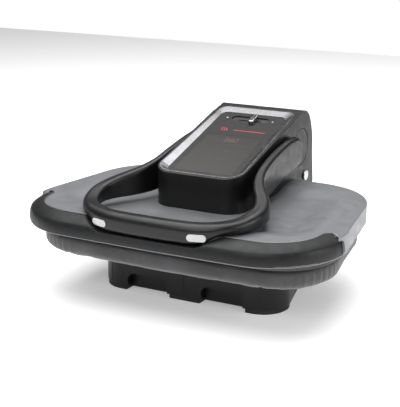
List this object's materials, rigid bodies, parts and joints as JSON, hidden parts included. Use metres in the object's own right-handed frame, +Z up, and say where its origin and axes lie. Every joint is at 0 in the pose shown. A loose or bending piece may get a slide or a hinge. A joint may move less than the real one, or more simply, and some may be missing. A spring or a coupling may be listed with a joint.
{
  "type": "heat press",
  "caption": "Clamshell heat press with a padded fabric board on a moulded base, a wide heated head under a domed silver cover, a sloping control panel and a loop lever handle.",
  "frame": {"origin": "middle of the footprint box, on the surface the feet stand on", "axes": "+Z up, the front with the handle faces -Y, +X to the right seen from the front"},
  "size_m": [0.6226, 0.5347, 0.3074],
  "materials": {
    "black_shell": "satin",
    "board_fabric": "matte",
    "bright_lip": "satin",
    "bush_plastic": "satin",
    "ceramic_white": "matte",
    "chrome": "polished",
    "circuit_board": "satin",
    "clear_lens": "gloss",
    "dark_trim": "matte",
    "element_sheath": "satin",
    "foam": "matte",
    "glass_wool": "matte",
    "handle_black": "satin",
    "platen_metal": "satin",
    "rubber_feet": "matte",
    "silver_cover": "satin",
    "smoked_window": "gloss",
    "steel": "satin",
    "zinc_plate": "satin"
  },
  "bodies": {
    "base": {"base_housing": "black_shell", "base_feet": "rubber_feet", "base_plate": "zinc_plate", "base_screws": "steel", "board_tray": "dark_trim", "foam_pad": "foam", "board_cover": "board_fabric", "hinge_bracket": "zinc_plate", "bracket_screws": "steel", "column_cover": "dark_trim", "hinge_pin": "steel", "hinge_caps": "chrome", "hinge_washers": "bush_plastic", "anchor_pin": "steel", "power_inlet": "dark_trim"},
    "head": {"top_cover": "silver_cover", "front_bumper": "black_shell", "lip_trim": "bright_lip", "heat_shield": "dark_trim", "platen": "platen_metal", "heating_element": "element_sheath", "insulation_pad": "glass_wool", "platen_posts": "steel", "post_screws": "steel", "thermostat": "ceramic_white", "thermal_fuse": "ceramic_white", "head_frame": "zinc_plate", "control_housing": "black_shell", "tower_shell": "black_shell", "tower_caps": "dark_trim", "lever_bushes": "bush_plastic", "panel_bezel": "chrome", "control_panel": "black_shell", "display_window": "smoked_window", "display_board": "circuit_board", "indicator_lenses": "clear_lens", "slider_track": "dark_trim", "main_board": "circuit_board", "board_standoffs": "steel"},
    "handle": {"handle_loop": "handle_black", "handle_inserts": "bright_lip", "lever_shaft": "steel", "lever_cranks": "zinc_plate", "crank_pins": "steel"},
    "links": {"pull_links": "steel"},
    "slider": {"slider_knob": "chrome"}
  },
  "joints": [
    {"name": "press_hinge", "type": "hinge", "parent": "base", "child": "head", "pos_m": [0, 0.22235, 0.1722], "axis": [-1, 0, 0], "range_deg": [0, 40]},
    {"name": "handle_lift", "type": "hinge", "parent": "head", "child": "handle", "pos_m": [0, 0.13825, 0.2389], "axis": [-1, 0, 0], "range_deg": [0, 23.3]},
    {"name": "link_swing", "type": "hinge", "parent": "handle", "child": "links", "pos_m": [0, 0.16635, 0.2579], "axis": [-1, 0, 0], "range_deg": [-24.3, 0]},
    {"name": "slider_travel", "type": "slide", "parent": "head", "child": "slider", "axis": [1, 0, 0], "range_m": [-0.03, 0.011]}
  ],
  "couplings": [
    {"joint": "handle_lift", "follows": "press_hinge", "ratio": 0.58},
    {"joint": "link_swing", "follows": "press_hinge", "ratio": -0.604}
  ]
}
